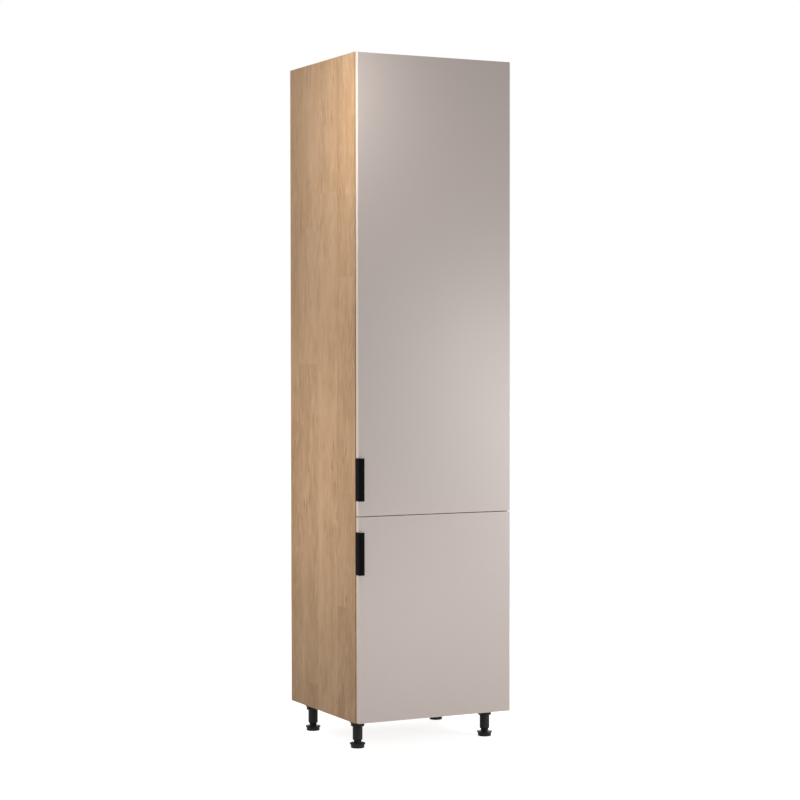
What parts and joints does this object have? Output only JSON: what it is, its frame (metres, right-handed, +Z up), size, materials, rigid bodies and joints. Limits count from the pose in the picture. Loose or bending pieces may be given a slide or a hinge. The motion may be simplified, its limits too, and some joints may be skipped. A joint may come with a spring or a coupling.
{
  "type": "tall kitchen cabinet",
  "caption": "Tall kitchen cabinet on adjustable legs: oak-decor carcass with shelves behind a tall upper and a short lower slab door, both hinged on the right and opened by edge pulls.",
  "frame": {"origin": "on the floor under the middle of the whole cabinet's box, pulls included", "axes": "+Z up, the doors face -Y, the hinges are on the +X side"},
  "size_m": [0.6, 0.5836, 2.41],
  "materials": {
    "oak_board": "oak decor on chipboard",
    "oak_edge_band": "oak decor edging",
    "hardboard": "smooth hardboard",
    "door_board": "satin lacquer on fibreboard",
    "door_edge_band": "satin edging",
    "black_metal": "matt black coating",
    "black_plastic": "moulded",
    "dowel_wood": "plain beech",
    "bumper": "clear soft plastic",
    "zinc_casting": "die-cast zinc",
    "plated_steel": "nickel plated"
  },
  "bodies": {
    "carcass": {"arm_screws": "plated_steel", "back_panel": "hardboard", "bottom_panel": "oak_board", "cam_bolts": "plated_steel", "cam_housings": "zinc_casting", "carcass_edge_bands": "oak_edge_band", "door_bumpers": "bumper", "front_left_leg_socket": "black_plastic", "front_left_leg_tube": "black_plastic", "front_right_leg_socket": "black_plastic", "front_right_leg_tube": "black_plastic", "hinge_plates": "plated_steel", "left_side_panel": "oak_board", "leg_screws": "plated_steel", "lower_hinge_arm_1": "plated_steel", "lower_hinge_arm_2": "plated_steel", "lower_shelf": "oak_board", "middle_shelf": "oak_board", "plate_screws": "plated_steel", "rear_left_leg_socket": "black_plastic", "rear_left_leg_tube": "black_plastic", "rear_right_leg_socket": "black_plastic", "rear_right_leg_tube": "black_plastic", "right_side_panel": "oak_board", "shelf_pins": "plated_steel", "top_panel": "oak_board", "upper_hinge_arm_1": "plated_steel", "upper_hinge_arm_2": "plated_steel", "upper_hinge_arm_3": "plated_steel", "upper_hinge_arm_4": "plated_steel", "upper_shelf_1": "oak_board", "upper_shelf_2": "oak_board", "upper_shelf_3": "oak_board", "wall_angle_screws": "plated_steel", "wall_angles": "plated_steel", "wood_dowels": "dowel_wood"},
    "upper_door": {"upper_cup_screws": "plated_steel", "upper_door": "door_board", "upper_door_edge_bands": "door_edge_band", "upper_hinge_cup_1": "plated_steel", "upper_hinge_cup_2": "plated_steel", "upper_hinge_cup_3": "plated_steel", "upper_hinge_cup_4": "plated_steel", "upper_hinge_pins": "plated_steel", "upper_pull": "black_metal", "upper_pull_screws": "plated_steel"},
    "lower_door": {"lower_cup_screws": "plated_steel", "lower_door": "door_board", "lower_door_edge_bands": "door_edge_band", "lower_hinge_cup_1": "plated_steel", "lower_hinge_cup_2": "plated_steel", "lower_hinge_pins": "plated_steel", "lower_pull": "black_metal", "lower_pull_screws": "plated_steel"},
    "front_left_foot": {"front_left_foot": "black_plastic"},
    "front_right_foot": {"front_right_foot": "black_plastic"},
    "rear_left_foot": {"rear_left_foot": "black_plastic"},
    "rear_right_foot": {"rear_right_foot": "black_plastic"}
  },
  "joints": [
    {"name": "upper_door_swing", "type": "hinge", "parent": "carcass", "child": "upper_door", "pos_m": [0.2899, -0.27125, 1.6125], "axis": [0, 0, 1], "range_deg": [0, 105]},
    {"name": "lower_door_swing", "type": "hinge", "parent": "carcass", "child": "lower_door", "pos_m": [0.2899, -0.27125, 0.4585], "axis": [0, 0, 1], "range_deg": [0, 105]},
    {"name": "front_left_foot_screw", "type": "slide", "parent": "carcass", "child": "front_left_foot", "axis": [0, 0, -1], "range_m": [-0.009, 0.025]},
    {"name": "front_right_foot_screw", "type": "slide", "parent": "carcass", "child": "front_right_foot", "axis": [0, 0, -1], "range_m": [-0.009, 0.025]},
    {"name": "rear_left_foot_screw", "type": "slide", "parent": "carcass", "child": "rear_left_foot", "axis": [0, 0, -1], "range_m": [-0.009, 0.025]},
    {"name": "rear_right_foot_screw", "type": "slide", "parent": "carcass", "child": "rear_right_foot", "axis": [0, 0, -1], "range_m": [-0.009, 0.025]}
  ]
}
